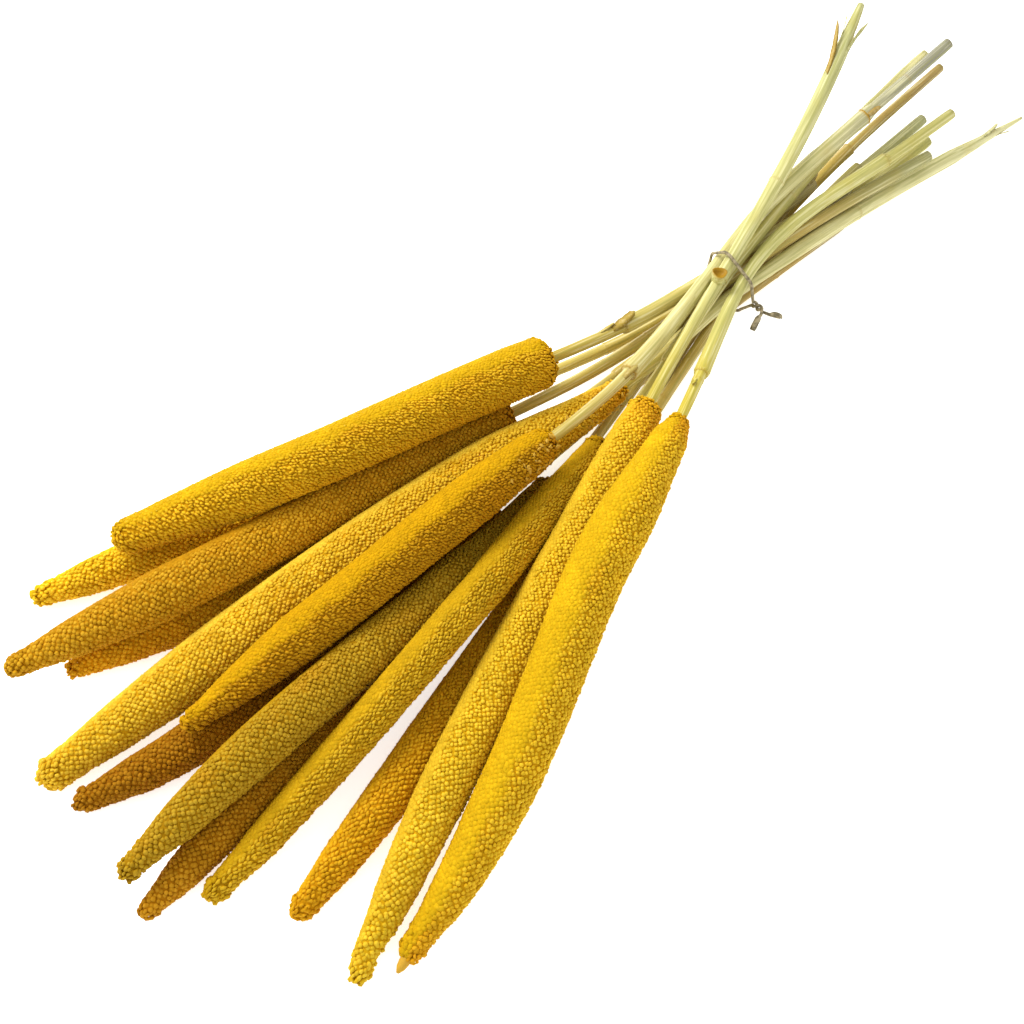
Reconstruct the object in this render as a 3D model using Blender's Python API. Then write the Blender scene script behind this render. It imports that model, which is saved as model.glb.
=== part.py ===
"""A tied bunch of thirteen dried pearl millet heads that lies on a flat surface.

Each stalk is a long grain-covered head and the pale stem under it. The stems cross in layers at one twist tie.
World units are metres, Z is up, the heads point to -X and the cut stem ends to +X.
"""

import math

import bmesh
import bpy
import numpy as np

# The plan is laid out in a slanted view whose side is 1024 units.
VIEW_SIDE = 1024
VIEW_FOCAL = 1634.0
VIEW_DISTANCE = 0.780
VIEW_ELEVATION = math.radians(62.0)
PLAN_TURN = math.radians(-47.0)

GAP = 0.0003
REST_GAP = 0.00048
FLAT_SINK = 0.0016

HEAD_SIDES = 10
GRAIN_PITCH = 0.0080
GRAIN_RISE = 0.0009
TIP_ROUND = 0.0060
BASE_ROUND = 0.0040
SOCKET_DEPTH = 0.0055
SOCKET_ROOM = 0.00005
BASE_RIM = 0.72
TIP_RIM = 0.62
BASE_SHARE = 0.26
TIP_SHARE = 0.32
STEM_ENTRY = 0.0050

STEM_SAMPLE = 0.0050
STEM_RING = 0.0190
TIE_POINT = (724.0, 284.0)
TIE_HEIGHT = 0.0160
LAYER_BOTTOM = 0.0062
LAYER_PITCH = 0.0067
COLUMN_PITCH = 0.0070
FAN_DIRECTION = math.radians(46.0)

REST_LOW = 0.008
REST_PULL = (1.0, 1.0, 1.0, 12.0, 0.5)
REST_BENDING = 0.00002
REST_TURNS = 8
REST_SWEEPS = 60

STEM_SPRING = 120.0
TIE_TURNS = 420
REST_LAST = 260
TIE_PULL = 0.036
TIE_REACH = 0.022
HEAD_SINK = 0.0003
HEAD_EASE = 0.25
HEAD_HOLD = 0.60
STEM_HOLD = 0.03
SPRING_TIED = 0.4
SPRING_LAST = 0.04
PAIR_TURNS = 15
PAIR_MARGIN = 0.008
PART_SWEEPS = 5
PART_BEYOND = 1.3
PART_ERROR = REST_GAP / 6.0
STRAND_FLAT = 0.010
STRAND_FADE = 0.035

TIE_WIRE = 0.00085
TIE_TWIST = 0.00120
TIE_TWIST_LENGTH = 0.0060
TIE_STEPS = 24

# Each stalk, from the lowest to the highest in the pile:
# number, tone, points along the head from tip to base, widths at tip, belly and base, layer and column at the tie,
# points between head and tie, points from tie to cut end,
# and the stem radius in millimetres at places from 0 at the head over 1 at the tie to 2 at the cut end.
STALKS = (
    (2, "orange", ((31, 600), (262, 505), (488, 397)), (30, 45, 38), (0, -1), ((620, 345),), ((922, 119),),
     ((0, 2.6), (0.5, 3.2), (1, 3.2), (1.4, 3.5), (2, 3.2))),
    (4, "orange", ((66, 672), (282, 574), (490, 462)), (30, 46, 38), (0, 0), (), ((928, 141),),
     ((0, 2.5), (0.5, 2.6), (0.53, 3.5), (1, 3.2), (1.5, 3.6), (2, 3.2))),
    (7, "orange", ((72, 806), (176, 754), (340, 628), (492, 506)), (34, 47, 38), (0, 1), (), ((841, 224),),
     ((0, 2.5), (0.6, 3.4), (1, 3.2), (2, 3.6))),
    (9, "orange", ((139, 919), (300, 752), (452, 600)), (30, 44, 36), (1, 0), ((612, 450),), ((941, 68),),
     ((0, 2.5), (0.55, 2.6), (0.58, 3.4), (1, 3.2), (1.6, 3.3), (1.62, 2.6), (2, 2.6))),
    (11, "orange", ((293, 920), (371, 820), (509, 627), (596, 505)), (34, 46, 36), (1, 1), (), ((860, 168),),
     ((0, 2.6), (1, 3.2), (2, 3.4))),
    (8, "ochre", ((119, 879), (314, 698), (556, 488)), (34, 50, 42), (1, -1), (), ((817, 186),),
     ((0, 2.6), (0.4, 2.7), (0.43, 3.5), (1, 3.2), (2, 3.7))),
    (3, "ochre", ((3, 672), (250, 550), (510, 414)), (30, 50, 42), (2, 0), ((600, 371),), ((930, 157),),
     ((0, 2.7), (0.6, 3.2), (1, 3.2), (2, 3.1))),
    (1, "ochre", ((113, 542), (330, 454), (547, 360)), (36, 51, 52), (2, -1), ((640, 322),), ((850, 190),),
     ((0, 2.8), (0.4, 3.0), (0.43, 4.0), (0.75, 4.0), (1, 3.2), (2, 3.3))),
    (5, "bright", ((40, 784), (318, 581), (515, 452), (622, 388)), (40, 60, 30), (2, 1), (),
     ((905, 184), (977, 143), (1022, 118)),
     ((0, 2.8), (0.3, 3.8), (0.6, 3.8), (1, 3.2), (1.3, 4.2), (1.75, 4.0), (1.86, 2.4), (2, 0.9))),
    (10, "gold", ((204, 900), (272, 829), (574, 482), (606, 446)), (32, 40, 38), (3, 0), (), ((926, 54),),
     ((0, 2.5), (0.45, 2.7), (0.48, 3.6), (1, 3.2), (1.5, 3.6), (1.9, 3.4), (2, 2.2))),
    (6, "gold", ((182, 729), (366, 584), (550, 440)), (26, 49, 38), (3, -1), ((622, 385),), ((875, 108), (948, 43)),
     ((0, 2.6), (0.38, 2.8), (0.41, 4.5), (0.7, 4.2), (1, 3.2), (1.3, 4.1), (1.66, 4.1), (1.68, 2.9), (2, 3.0))),
    (12, "bright", ((355, 985), (421, 837), (501, 679), (569, 554), (648, 405)), (34, 52, 38), (4, 0), (),
     ((797, 145), (860, 5)), ((0, 2.7), (1, 3.2), (1.3, 4.0), (1.8, 4.0), (2, 2.0))),
    (13, "bright", ((400, 961), (426, 929), (504, 792), (557, 670), (600, 563), (641, 489), (681, 419)),
     (36, 57, 34), (3, 1), ((705, 372), (723, 336)), ((891, 162), (947, 111)),
     ((0, 2.7), (0.3, 2.8), (0.33, 4.0), (0.7, 3.8), (1, 3.2), (1.3, 3.8), (1.7, 3.8), (1.72, 2.9), (2, 2.9))),
)

TONES = {
    "ochre": (0.52, 0.30, 0.035),
    "bright": (0.72, 0.46, 0.065),
    "orange": (0.50, 0.22, 0.018),
    "gold": (0.62, 0.36, 0.035),
}
STEM_COLOUR = (0.74, 0.70, 0.40)
TIE_COLOUR = (0.30, 0.25, 0.16)


def clear_scene():
    """Remove everything the file starts with."""
    for old in list(bpy.data.objects):
        bpy.data.objects.remove(old, do_unlink=True)


def material(name, colour, roughness):
    """A plain material with one Principled BSDF."""
    made = bpy.data.materials.new(name)
    made.use_nodes = True
    shader = made.node_tree.nodes["Principled BSDF"]
    shader.inputs["Base Color"].default_value = (*colour, 1.0)
    shader.inputs["Roughness"].default_value = roughness
    shader.inputs["Metallic"].default_value = 0.0
    made.diffuse_color = (*colour, 1.0)
    return made


def turned(points):
    """Plan points turned about Z so that the bunch lies along X."""
    c = math.cos(PLAN_TURN)
    s = math.sin(PLAN_TURN)
    turn = np.array(((c, -s), (s, c)))
    out = np.array(points, float)
    out[..., :2] = out[..., :2] @ turn.T
    return out


VIEW_EYE = turned((0.0, -VIEW_DISTANCE * math.cos(VIEW_ELEVATION), VIEW_DISTANCE * math.sin(VIEW_ELEVATION)))


def ground_point(u, v, height=0.0):
    """Where the sight line through view point (u, v) comes down to a height, as plan x and y."""
    across = (u - VIEW_SIDE / 2) / VIEW_FOCAL
    rise = (VIEW_SIDE / 2 - v) / VIEW_FOCAL
    c = math.cos(VIEW_ELEVATION)
    s = math.sin(VIEW_ELEVATION)
    line = turned((across, c + rise * s, -s + rise * c))
    reach = (VIEW_EYE[2] - height) / -line[2]
    return (VIEW_EYE + line * reach)[:2]


def shadow(point):
    """The floor point on the same sight line as a point in space."""
    reach = VIEW_EYE[2] / (VIEW_EYE[2] - point[2])
    return (VIEW_EYE + (np.array(point) - VIEW_EYE) * reach)[:2]


def unit_size(plan):
    """Metres per view unit at floor points."""
    reach = np.linalg.norm(np.column_stack((plan, np.zeros(len(plan)))) - VIEW_EYE, axis=1)
    return reach / VIEW_FOCAL


def lifted(plan, height):
    """Points in space above floor points on their sight lines."""
    share = 1.0 - height / VIEW_EYE[2]
    flat = VIEW_EYE[:2] + (plan - VIEW_EYE[:2]) * share[:, None]
    return np.column_stack((flat, height))


def spline_matrix(knots, places):
    """Natural cubic spline weights: places by knots."""
    count = len(knots)
    step = np.diff(knots)
    bend = np.zeros((count, count))
    load = np.zeros((count, count))
    bend[0, 0] = 1.0
    bend[-1, -1] = 1.0
    for k in range(1, count - 1):
        bend[k, k - 1] = step[k - 1]
        bend[k, k] = 2.0 * (step[k - 1] + step[k])
        bend[k, k + 1] = step[k]
        load[k, k - 1] = 6.0 / step[k - 1]
        load[k, k + 1] = 6.0 / step[k]
        load[k, k] = -load[k, k - 1] - load[k, k + 1]
    second = np.linalg.solve(bend, load)
    unit = np.eye(count)
    index = np.clip(np.searchsorted(knots, places, side="right") - 1, 0, count - 2)
    h = step[index][:, None]
    b = ((places - knots[index]) / step[index])[:, None]
    a = 1.0 - b
    cubic = ((a**3 - a) * second[index] + (b**3 - b) * second[index + 1]) * h**2 / 6.0
    return a * unit[index] + b * unit[index + 1] + cubic


def smooth_step(t):
    """0 to 1 with level ends."""
    t = np.clip(t, 0.0, 1.0)
    return t * t * (3.0 - 2.0 * t)


def head_radius(share, widths, size):
    """Radius of a head; share runs from 0 at the base to 1 at the tip, size is metres per view unit there."""
    tip, belly, base = widths
    low = base + (belly - base) * smooth_step(share / BASE_SHARE)
    high = tip + (belly - tip) * (1.0 - smooth_step((share - 1.0 + TIP_SHARE) / TIP_SHARE))
    return np.minimum(low, high) * size / 2.0


class Stalk:
    """One stalk: its plan line, its radii and the heights that it settles to."""

    def __init__(self, row):
        self.number, self.tone, head, self.widths, (layer, column), before, after, self.radii = row
        fan = FAN_DIRECTION + PLAN_TURN
        aside = np.array((math.sin(fan), -math.cos(fan)))
        middle = ground_point(*TIE_POINT, TIE_HEIGHT)
        tie_height = LAYER_BOTTOM + layer * LAYER_PITCH
        slot = middle + aside * column * COLUMN_PITCH
        points = [ground_point(*p) for p in head + before]
        points.append(shadow((*slot, tie_height)))
        points += [ground_point(*p) for p in after]
        points = np.array(points)
        along = np.concatenate(((0.0,), np.cumsum(np.linalg.norm(np.diff(points, axis=0), axis=1))))
        self.base = along[len(head) - 1]
        self.tie = along[len(head) + len(before)]
        self.end = along[-1]
        self.line_knots = along
        self.line_points = points
        self.places = np.linspace(0.0, self.end, int(self.end / STEM_SAMPLE) + 1)
        self.plan = self.plan_at(self.places)
        self.radius = np.where(self.places <= self.base, self.head_at(self.places), self.stem_at(self.places))
        self.height_knots = np.array((0.0, self.base / 2.0, self.base, self.tie, self.end))
        self.weights = spline_matrix(self.height_knots, self.places)
        self.heights = np.full(5, tie_height)
        self.in_head = self.places <= self.base

    def plan_at(self, places):
        """Floor points below the stalk's view line."""
        return spline_matrix(self.line_knots, places) @ self.line_points

    def head_at(self, places):
        """Radius of the head at distances from its tip."""
        return head_radius(1.0 - places / self.base, self.widths, unit_size(self.plan_at(places)))

    def stem_at(self, places):
        """Radius of the stem, from the listed radii."""
        step = np.where(places < self.tie, (places - self.base) / (self.tie - self.base),
                        1.0 + (places - self.tie) / (self.end - self.tie))
        at, radius = np.array(self.radii).T
        return np.interp(step, at, radius) / 1000.0

    def points_at(self, places):
        """Points of the settled stalk in space."""
        return np.column_stack([np.interp(places, self.places, self.line[:, k]) for k in range(3)])

    def floor(self):
        """Lowest centre height: a head flattens where it rests, and the tie's strand passes under the stems."""
        beyond = (np.abs(self.places - self.tie) - STRAND_FLAT) / STRAND_FADE
        strand = (2.0 * TIE_WIRE + 3.0 * GAP) * (1.0 - smooth_step(beyond))
        return self.radius + np.where(self.in_head, -FLAT_SINK, GAP + strand)


def needed_height(stalk, lower):
    """Lowest height at each sample that clears the floor and the stalks already laid."""
    need = stalk.floor()
    here = lifted(stalk.plan, stalk.weights @ stalk.heights)
    for other in lower:
        there = lifted(other.plan, other.weights @ other.heights)
        start = there[None, :-1, :2]
        span = (there[1:, :2] - there[:-1, :2])[None]
        away = here[:, None, :2] - start
        share = np.clip((away * span).sum(2) / (span**2).sum(2), 0.0, 1.0)
        apart = np.linalg.norm(away - span * share[..., None], axis=2)
        reach = stalk.radius[:, None] + other.radius[:-1] + (other.radius[1:] - other.radius[:-1]) * share + REST_GAP
        top = there[:-1, 2] + (there[1:, 2] - there[:-1, 2]) * share
        rise = np.sqrt(np.maximum(reach**2 - apart**2, 0.0))
        need = np.maximum(need, np.where(apart < reach, top + rise, 0.0).max(1))
    return need


def rested(stalk, wanted, ease, need):
    """Knot heights nearest to the wanted ones, with little bending, that keep every sample at or over its need."""
    heights = wanted.copy()
    push = np.zeros(len(need))
    lift = stalk.weights @ ease
    own = (lift * stalk.weights).sum(1)
    for _ in range(REST_SWEEPS):
        short = need - stalk.weights @ heights
        for k in np.flatnonzero((short > 0.0) | (push > 0.0)):
            change = (need[k] - stalk.weights[k] @ heights) / own[k]
            change = max(change, -push[k])
            push[k] += change
            heights += lift[k] * change
    return heights


def settle(stalks):
    """Lay the stalks one on another: each sinks at its head and is lifted where it would touch."""
    for k, stalk in enumerate(stalks):
        curved = np.diff(stalk.weights, 2, axis=0) / STEM_SAMPLE**2
        stiff = np.diag(REST_PULL) + REST_BENDING * curved.T @ curved
        ease = np.linalg.inv(stiff)
        pull = np.array((REST_LOW, REST_LOW, REST_LOW, stalk.heights[3], stalk.heights[3]))
        wanted = ease @ (np.array(REST_PULL) * pull)
        stalk.heights = wanted
        for _ in range(REST_TURNS):
            stalk.heights = rested(stalk, wanted, ease, needed_height(stalk, stalks[:k]))


def gathered(stalks):
    """All samples of the stalks in one list: points, radii, stalk index and head flag, with the segments' starts."""
    owner = np.concatenate([np.full(len(s.places), k) for k, s in enumerate(stalks)])
    radius = np.concatenate([s.radius for s in stalks])
    in_head = np.concatenate([s.in_head for s in stalks])
    starts = np.flatnonzero(owner[:-1] == owner[1:])
    return owner, radius, in_head, starts


def near_pairs(points, radius, owner, starts, margin):
    """Samples and segments of different stalks that lie within reach of each other."""
    middle = (points[starts] + points[starts + 1]) / 2.0
    apart = np.linalg.norm(points[:, None] - middle[None], axis=2)
    reach = radius[:, None] + radius[starts][None] + margin
    sample, segment = np.nonzero((apart < reach) & (owner[:, None] != owner[starts][None]))
    return sample, starts[segment]


def part_ways(points, radius, ease, sample, start):
    """Move touching stalks apart, each by its share."""
    low = points[start]
    span = points[start + 1] - low
    away = points[sample] - low
    share = np.clip((away * span).sum(1) / (span**2).sum(1), 0.0, 1.0)
    gap = away - span * share[:, None]
    apart = np.linalg.norm(gap, axis=1)
    reach = radius[sample] + radius[start] + (radius[start + 1] - radius[start]) * share + REST_GAP
    hit = apart < reach
    sample, start, share, gap, apart, reach = (x[hit] for x in (sample, start, share, gap, apart, reach))
    size = ((reach - apart) / apart)[:, None] * gap
    total = ease[sample] + ease[start]
    mine = size * (ease[sample] / total)[:, None]
    theirs = -size * (ease[start] / total)[:, None]
    moved = np.zeros_like(points)
    times = np.zeros(len(points))
    np.add.at(moved, sample, mine)
    np.add.at(moved, start, theirs * (1.0 - share)[:, None])
    np.add.at(moved, start + 1, theirs * share[:, None])
    np.add.at(times, sample, 1.0)
    np.add.at(times, start, 1.0 - share)
    np.add.at(times, start + 1, share)
    moved *= PART_BEYOND / np.maximum(times, 1.0)[:, None]
    return points + moved, float((reach - apart).max(initial=0.0))


def draw_together(stalks):
    """Tie the laid stalks: the strand pulls the stems in while they slide past one another and stay springy."""
    owner, radius, in_head, starts = gathered(stalks)
    points = np.concatenate([lifted(s.plan, s.weights @ s.heights) for s in stalks])
    plan = np.concatenate([s.plan for s in stalks])
    floor = np.concatenate([s.floor() for s in stalks])
    ease = np.where(in_head, HEAD_EASE, 1.0)
    hold = np.where(in_head, HEAD_HOLD, STEM_HOLD)
    fan = FAN_DIRECTION + PLAN_TURN
    along = np.array((math.cos(fan), math.sin(fan), 0.0))
    middle = np.array((*ground_point(*TIE_POINT, TIE_HEIGHT), TIE_HEIGHT))
    springs = []
    for stalk in stalks:
        bend = np.diff(np.eye(len(stalk.places)), 2, axis=0)
        springs.append(np.linalg.inv(np.eye(len(stalk.places)) + STEM_SPRING * bend.T @ bend))
    for turn in range(TIE_TURNS + REST_LAST):
        if turn % PAIR_TURNS == 0:
            sample, start = near_pairs(points, radius, owner, starts, PAIR_MARGIN)
        worst = 0.0
        if turn < TIE_TURNS:
            calm = 1.0 - turn / TIE_TURNS
            ahead = (points - middle) @ along
            pull = TIE_PULL * calm * np.exp(-((ahead / TIE_REACH) ** 2))[:, None]
            toward = middle + along * ahead[:, None] - points
            points = points + toward * pull
            sight = lifted(plan, points[:, 2])
            points = points + (sight - points) * hold[:, None]
            points[:, 2] -= np.where(in_head, HEAD_SINK * calm, 0.0)
        for k, spring in enumerate(springs):
            mine = owner == k
            strength = SPRING_TIED if turn < TIE_TURNS else SPRING_LAST
            points[mine] += strength * (spring @ points[mine] - points[mine])
        for _ in range(PART_SWEEPS):
            points, worst = part_ways(points, radius, ease, sample, start)
            points[:, 2] = np.maximum(points[:, 2], floor)
        if turn >= TIE_TURNS and worst < PART_ERROR:
            break
    for k, stalk in enumerate(stalks):
        stalk.line = points[owner == k]
    return worst


def head_mesh(stalk):
    """The head as rings from the socket floor to the tip; alternate corners are raised as grains."""
    length = stalk.base
    entry = stalk.stem_at(np.array((stalk.base,)))[0] + GAP + SOCKET_ROOM
    socket = entry / math.cos(math.pi / HEAD_SIDES)
    rows = int(round((length - TIP_ROUND - BASE_ROUND) / GRAIN_PITCH))
    from_base = np.linspace(BASE_ROUND, length - TIP_ROUND, rows + 1)
    full = stalk.head_at(length - from_base)
    start_radius = full[0]
    tip_radius = full[-1]
    from_base = np.concatenate(((SOCKET_DEPTH, 0.0, BASE_ROUND * 0.2), from_base, (length - TIP_ROUND * 0.3,)))
    radius = np.concatenate(((socket, socket, start_radius * BASE_RIM), full, (tip_radius * TIP_RIM,)))
    fixed = np.zeros(len(radius), bool)
    fixed[:2] = True
    centre = stalk.points_at(length - from_base)
    spread = stalk.points_at(np.clip(length - from_base + 0.002, 0.0, None))
    back = stalk.points_at(np.clip(length - from_base - 0.002, 0.0, None))
    along = spread - back
    along /= np.linalg.norm(along, axis=1)[:, None]
    side = np.cross(np.array((0.0, 0.0, 1.0)), along)
    side /= np.linalg.norm(side, axis=1)[:, None]
    up = np.cross(along, side)
    made = bmesh.new()
    rings = []
    for k in range(len(radius)):
        ring = []
        for j in range(HEAD_SIDES):
            angle = (j + 0.5) * 2.0 * math.pi / HEAD_SIDES - math.pi / 2.0
            low = 0.0 if fixed[k] or (k + j) % 2 == 0 else GRAIN_RISE
            place = centre[k] + (radius[k] - low) * (side[k] * math.cos(angle) + up[k] * math.sin(angle))
            place[2] = max(place[2], 0.0)
            ring.append(made.verts.new(place))
        rings.append(ring)
    floor = made.verts.new(centre[0])
    tip = made.verts.new(stalk.points_at(np.array((0.0,)))[0])
    for k in range(len(rings) - 1):
        for j in range(HEAD_SIDES):
            n = (j + 1) % HEAD_SIDES
            a, b, c, d = rings[k][j], rings[k][n], rings[k + 1][n], rings[k + 1][j]
            if (k + j) % 2 == 0:
                made.faces.new((a, b, d))
                made.faces.new((b, c, d))
            else:
                made.faces.new((a, b, c))
                made.faces.new((a, c, d))
    for j in range(HEAD_SIDES):
        n = (j + 1) % HEAD_SIDES
        made.faces.new((floor, rings[0][n], rings[0][j]))
        made.faces.new((tip, rings[-1][j], rings[-1][n]))
    bmesh.ops.recalc_face_normals(made, faces=made.faces)
    mesh = bpy.data.meshes.new("head")
    made.to_mesh(mesh)
    made.free()
    return mesh


def tube_mesh(points, radii, sides_step):
    """A closed tube of changing radius along points, its caps welded."""
    curve = bpy.data.curves.new("tube", "CURVE")
    curve.dimensions = "3D"
    curve.bevel_depth = 1.0
    curve.bevel_resolution = sides_step
    curve.use_fill_caps = True
    line = curve.splines.new("POLY")
    line.points.add(len(points) - 1)
    for spot, point, radius in zip(line.points, points, radii, strict=True):
        spot.co = (*point, 1.0)
        spot.radius = radius
    holder = bpy.data.objects.new("tube", curve)
    bpy.context.scene.collection.objects.link(holder)
    bpy.context.view_layer.update()
    graph = bpy.context.evaluated_depsgraph_get()
    mesh = bpy.data.meshes.new_from_object(holder.evaluated_get(graph))
    bpy.data.objects.remove(holder, do_unlink=True)
    bpy.data.curves.remove(curve)
    made = bmesh.new()
    made.from_mesh(mesh)
    bmesh.ops.remove_doubles(made, verts=made.verts, dist=0.00002)
    bmesh.ops.recalc_face_normals(made, faces=made.faces)
    made.to_mesh(mesh)
    made.free()
    return mesh


def stem_mesh(stalk):
    """The stem with its sheath steps, from inside the head's socket to the cut end."""
    start = stalk.base - STEM_ENTRY
    span = np.linspace(start, stalk.end, int((stalk.end - start) / STEM_RING) + 1)
    steps = []
    for step, _ in stalk.radii[1:-1]:
        if step < 1.0:
            steps.append(stalk.base + step * (stalk.tie - stalk.base))
        else:
            steps.append(stalk.tie + (step - 1.0) * (stalk.end - stalk.tie))
    keep = [p for p in span if all(abs(p - q) > STEM_RING * 0.3 for q in steps)]
    places = np.array(sorted(keep + steps + [stalk.base]))
    places = places[np.concatenate(((True,), np.diff(places) > 0.001))]
    radii = stalk.stem_at(np.maximum(places, stalk.base))
    return tube_mesh(stalk.points_at(places), radii, 2)


def tie_path(stalks):
    """One strand: an end, the knot, once round the stems, the knot again and the other end."""
    fan = FAN_DIRECTION + PLAN_TURN
    along = np.array((math.cos(fan), math.sin(fan), 0.0))
    aside = np.array((math.sin(fan), -math.cos(fan), 0.0))
    up = np.array((0.0, 0.0, 1.0))
    origin = np.array((*ground_point(*TIE_POINT, TIE_HEIGHT), 0.0))
    discs = []
    for stalk in stalks:
        line = stalk.line - origin
        near = int(np.abs(line @ along).argmin())
        run = line[near + 1] - line[near - 1]
        slant = np.linalg.norm(run) / (run @ along)
        for k in range(near - 1, near + 2):
            discs.append((line[k] @ aside, line[k] @ up, stalk.radius[k] * slant + 1.5 * GAP + TIE_WIRE))
    discs = np.array(discs)
    loop = []
    turns = np.linspace(0.08 * math.pi, 1.92 * math.pi, TIE_STEPS)
    for k, angle in enumerate(turns):
        facing = np.array((math.cos(angle), math.sin(angle)))
        hit = discs[int((discs[:, :2] @ facing + discs[:, 2]).argmax())]
        flat = hit[:2] + facing * hit[2]
        drift = 0.0016 * (k / (TIE_STEPS - 1.0) - 0.5)
        loop.append(origin + aside * flat[0] + up * max(flat[1], TIE_WIRE + GAP) + along * drift)
    loop = np.array(loop)
    right = ((loop - origin) @ aside).max()
    knot = origin + aside * (right + 0.0022) + up * ((loop[0][2] + loop[-1][2]) / 2.0)
    one = []
    two = []
    for k in range(9):
        share = k / 8.0
        angle = math.pi / 2.0 + 2.0 * math.pi * share
        out = knot + aside * TIE_TWIST_LENGTH * share
        swing = TIE_TWIST * (up * math.sin(angle) - along * math.cos(angle))
        one.append(out + swing)
        two.append(out - swing)
    one.append(one[-1] + aside * 0.0020 - along * 0.0035 + up * 0.0006)
    one.append(one[-1] + aside * 0.0010 - along * 0.0075 - up * 0.0010)
    two.append(two[-1] + aside * 0.0040 + along * 0.0016 - up * 0.0004)
    two.append(two[-1] + aside * 0.0045 + along * 0.0030 - up * 0.0010)
    return np.array(one[::-1] + list(loop) + two)


def tie_mesh(stalks):
    """The twist tie, a little wider at its papery ends."""
    path = tie_path(stalks)
    return tube_mesh(path, np.full(len(path), TIE_WIRE), 1)


def place(name, mesh, look, collection, smooth):
    """One named object from a mesh."""
    mesh.materials.clear()
    mesh.materials.append(look)
    mesh.polygons.foreach_set("use_smooth", np.full(len(mesh.polygons), smooth))
    mesh.name = name
    made = bpy.data.objects.new(name, mesh)
    collection.objects.link(made)
    return made


def centre_on_floor(objects):
    """Shift the bunch so that the middle of its box lies over the origin."""
    points = np.array([tuple(v.co) for o in objects for v in o.data.vertices])
    middle = (points.min(0) + points.max(0)) / 2.0
    for made in objects:
        made.location = (-middle[0], -middle[1], 0.0)


def main():
    """Build the bunch."""
    clear_scene()
    bunch = bpy.data.collections.new("tied_millet_bunch")
    bpy.context.scene.collection.children.link(bunch)
    looks = {tone: material(f"grain_{tone}", colour, 0.75) for tone, colour in TONES.items()}
    stem_look = material("stem_cream", STEM_COLOUR, 0.6)
    tie_look = material("tie_paper", TIE_COLOUR, 0.8)
    stalks = [Stalk(row) for row in STALKS]
    settle(stalks)
    draw_together(stalks)
    objects = []
    for stalk in stalks:
        objects.append(place(f"head_{stalk.number:02d}", head_mesh(stalk), looks[stalk.tone], bunch, False))
        objects.append(place(f"stem_{stalk.number:02d}", stem_mesh(stalk), stem_look, bunch, True))
    objects.append(place("tie", tie_mesh(stalks), tie_look, bunch, True))
    centre_on_floor(objects)


main()
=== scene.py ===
"""Looks of a tied bunch of thirteen dried pearl millet heads that lies on a pale floor.

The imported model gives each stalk's centre line and girth. Every head is dressed with small grains over a golden
core, every stem with its ribs, leaf sheaths, torn scales and cut end, and the tie with its papery ends.
World units are metres, Z is up. Angles round a stalk start at its side nearest the viewer and rise over its top.
"""

import math

import bpy
import numpy as np
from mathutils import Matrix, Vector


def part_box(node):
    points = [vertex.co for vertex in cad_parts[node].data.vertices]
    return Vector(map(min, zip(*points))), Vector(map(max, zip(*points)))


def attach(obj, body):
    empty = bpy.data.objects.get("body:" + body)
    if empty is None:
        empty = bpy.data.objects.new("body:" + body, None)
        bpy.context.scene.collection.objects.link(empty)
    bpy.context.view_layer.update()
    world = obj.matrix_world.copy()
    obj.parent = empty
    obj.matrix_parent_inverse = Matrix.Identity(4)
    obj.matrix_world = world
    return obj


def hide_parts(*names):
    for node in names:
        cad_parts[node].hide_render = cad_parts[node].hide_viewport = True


SEED = 13
TURN = 2.0 * math.pi
GOLDEN_TURN = math.pi * (3.0 - math.sqrt(5.0))

# The camera stands where the photograph was taken from.
EYE = (-0.32667, -0.25615, 0.68870)
EYE_TILT = math.radians(28.0)
EYE_TURN = math.radians(-47.0)
LENS = 57.445
SENSOR = 36.0

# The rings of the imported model: sides of a head's and of a stem's, and how near two corners are one.
HEAD_SIDES = 10
STEM_SIDES = 8
MERGE = 2e-6
FLOOR_LIFT = 0.00015
LOOK_AHEAD = 0.0005

# Grains: the size of their cells at a head's base and tip and the share of its length where they grow, their height,
# how deep they sit, half their width and the size of their top as shares, and how far they stray.
GRAIN_CELL_BASE = 0.00164
GRAIN_CELL_TIP = 0.00218
GRAIN_GROWTH = (0.35, 0.95)
GRAIN_HEIGHT = 0.00125
GRAIN_SINK = 0.00015
GRAIN_WIDTH = 0.69
GRAIN_TOP = 0.60
GRAIN_STRAY = 0.00028
GRAIN_UNEVEN = 0.00018
GRAIN_BULKS = (0.86, 1.14)
GRAIN_HEIGHTS = (0.88, 1.04)
TILT_STRAY = 0.16
TILT_LIMITS = (-1.2, 0.9)
TWIST_STRAY = 0.35

# A head's skin: its stations, the ragged grains at its base, the narrowing and the slope of its ends, and its tuft.
HEAD_STATIONS = 400
SLOPE_STEP = 0.0006
STEEPEST = 0.98
RAGGED_BASE = 0.008
RAGGED_LIFT = 0.0017
RAGGED_TILT = 1.1
BASE_SPAN = 0.06
TIP_SPAN = (0.86, 0.985)
TIP_NARROW = 0.26
TIP_LIFT = 0.00045
TIP_START = 0.90
TUFT_START = 0.955
TUFT_LONGER = 0.35
SPIKE_FROM = 0.75
SPIKE_TALLER = 1.1
SPIKE_THINNER = 0.25
SPIKE_LIFT = 0.0009

# The smooth strip on a head's upper flank, where the key light falls, partly real fuzz and partly painted light: its
# far end, the softness and the waves of its edges, and how it closes its grains up.
STRIP_END = math.radians(172.0)
STRIP_EDGE = 0.14
STRIP_STRAY = 0.06
STRIP_WAVE = 0.08
STRIP_WAVES = 230.0
STRIP_CLOSER = 0.35

# The core under the grains.
CORE_DEPTH = 0.00080
STRIP_DEPTH = 0.00028
CORE_SIDES = 30
CORE_STEP = 0.005
CORE_START = 0.0008
CORE_LEAST = 0.0006
CORE_TIP = (0.93, 0.99)

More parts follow.
